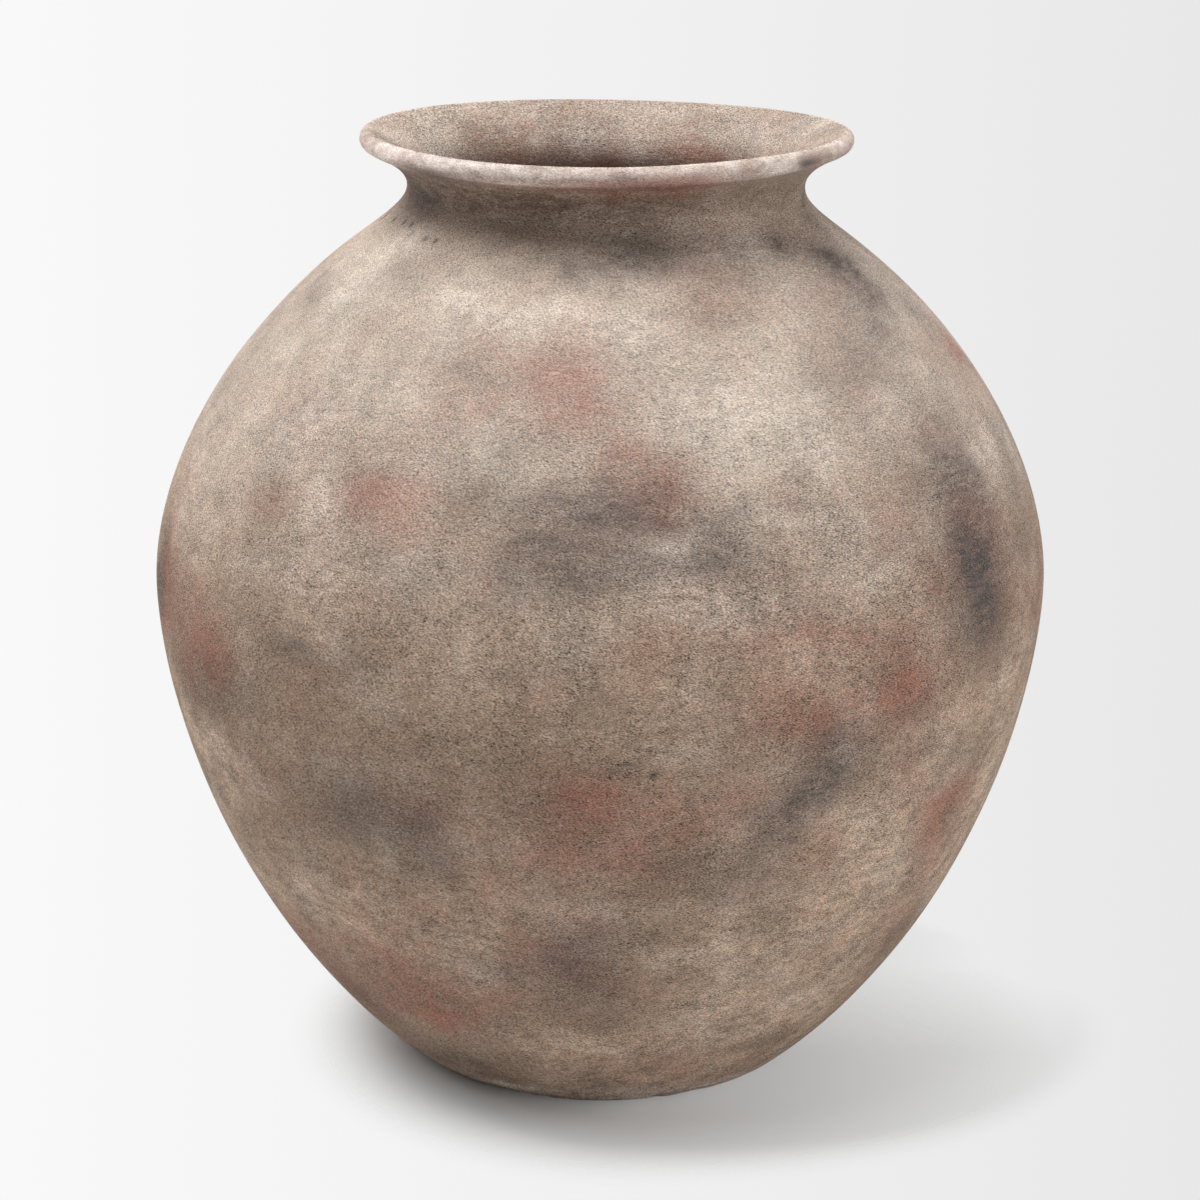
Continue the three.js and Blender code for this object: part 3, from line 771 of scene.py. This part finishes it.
# The pale wash, partly painted light from above, grows with height
washed_and_top_lit = grade(skin, high, WASH_AND_LIGHT_FROM, WASH_AND_LIGHT_TO, 0, WASH_AND_LIGHT_MOST, "SMOOTHSTEP")
washed_and_top_lit = calc(skin, "MULTIPLY", washed_and_top_lit, grade(skin, mottle, 0.3, 0.7, 1.2, 0.8))
# The wash is half taken off the neck, partly as painted shade under the lip
worn_and_shaded = calc(skin, "MULTIPLY", grade(skin, high, WORN_AND_SHADE_FROM, WORN_AND_SHADE_TO, 0, WORN_AND_SHADE_MOST), outdoors)
washed_and_top_lit = calc(skin, "MULTIPLY", washed_and_top_lit, calc(skin, "SUBTRACT", 1, worn_and_shaded))
colour = mixed(skin, washed_and_top_lit, colour, WASH_AND_TOP_LIGHT)
browned = calc(skin, "MULTIPLY", indoors, grade(skin, mottle, 0.4, 0.6, -0.2, 0.45))
colour = mixed(skin, browned, colour, INSIDE_BROWN)
stains = ((chalky, 0.33, CHALK_AND_LIGHT_WHITE), (ashy, 0.35, SMOKE_AND_SHADE_GREY), (rosy, 0.3, IRON_RED))
for stained, most, stain in stains:
    colour = mixed(skin, grade(skin, stained, STAIN_FROM, STAIN_TO, 0, most), colour, stain)
# Some of these dabs are painted shade (umber and smoke under the lip and on the left side) and painted
# light (chalk on the shoulder, the lip's highlight)
dabs = {"umber_and_shade": UMBER_AND_SHADE_BROWN, "iron": IRON_RED, "smoke_and_shade": SMOKE_AND_SHADE_GREY, "chalk_and_light": CHALK_AND_LIGHT_WHITE, "lip": LIP_WHITE_AND_HIGHLIGHT}
for name, dab in dabs.items():
    colour = mixed(skin, laid(name), colour, dab)
warmth = mixed(skin, grade(skin, tint, 0.3, 0.7, 0, 1), WARM, COOL)
colour = mixed(skin, 1, colour, warmth, "MULTIPLY")

speckled = calc(skin, "ADD", swing(clouds, 0.2, 0.16), swing(mottle, 0.2, 0.16))
speckled = calc(skin, "ADD", speckled, swing(grain, 0.3, 1))
speckled = calc(skin, "ADD", speckled, swing(strokes, 0.3, 0.25))
rubbed = grade(skin, high, SHOULDER_FROM, SHOULDER_TO, GRAIN_ON_BELLY, GRAIN_ON_SHOULDER)
rubbed = calc(skin, "MULTIPLY", rubbed, grade(skin, high, NECK_FROM, NECK_TO, 1, NECK_GAIN))
lowered = calc(skin, "SUBTRACT", high, calc(skin, "MULTIPLY", indoors, INSIDE_DROP))
rubbed = calc(skin, "MULTIPLY", rubbed, grade(skin, lowered, LIP_FROM, LIP_TO, 1, LIP_GAIN))
shade = calc(skin, "ADD", calc(skin, "MULTIPLY", speckled, rubbed), BRIGHTNESS)
tinted = add(skin, "VectorMath", {0: colour, "Scale": shade}, operation="SCALE").outputs[0]
skin.links.new(tinted, surface.inputs["Base Color"])

rough = calc(skin, "ADD", calc(skin, "MULTIPLY", grain, 0.5), calc(skin, "MULTIPLY", strokes, 0.35))
rough = calc(skin, "ADD", rough, mottle)
relief = add(skin, "Bump", {"Strength": 1, "Distance": RELIEF_DEPTH, "Height": rough})
skin.links.new(relief.outputs[0], surface.inputs["Normal"])
vase.data.materials.append(clay)
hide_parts("vase_body")
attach(vase, "root")

# The felt pads: four thin discs of pressed felt, stuck to the flat ring under the foot.
# They stay as they were cut, and get the look of matted fibres.
FELT_BROWN = (0.075, 0.058, 0.047, 1)
FELT_DARK = (0.035, 0.027, 0.022, 1)
PAD_COUNT = 4
NAP_DEPTH = 0.0004

felt = bpy.data.materials.new("felt")
felt.use_nodes = True
nap = felt.node_tree
surface = nap.nodes["Principled BSDF"]
surface.inputs["Roughness"].default_value = 1
surface.inputs["Specular IOR Level"].default_value = 0.1
spot = add(nap, "TexCoord", {}).outputs["Object"]
fibres = noisy(nap, spot, scale=900, detail=5, roughness=0.7, distortion=2)
matted = mixed(nap, grade(nap, fibres, 0.35, 0.65, 0, 1), FELT_DARK, FELT_BROWN)
nap.links.new(matted, surface.inputs["Base Color"])
raised = add(nap, "Bump", {"Strength": 1, "Distance": NAP_DEPTH, "Height": fibres})
nap.links.new(raised.outputs[0], surface.inputs["Normal"])
for number in range(1, PAD_COUNT + 1):
    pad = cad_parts[f"felt_pad_{number}"]
    pad.data.materials.clear()
    pad.data.materials.append(felt)
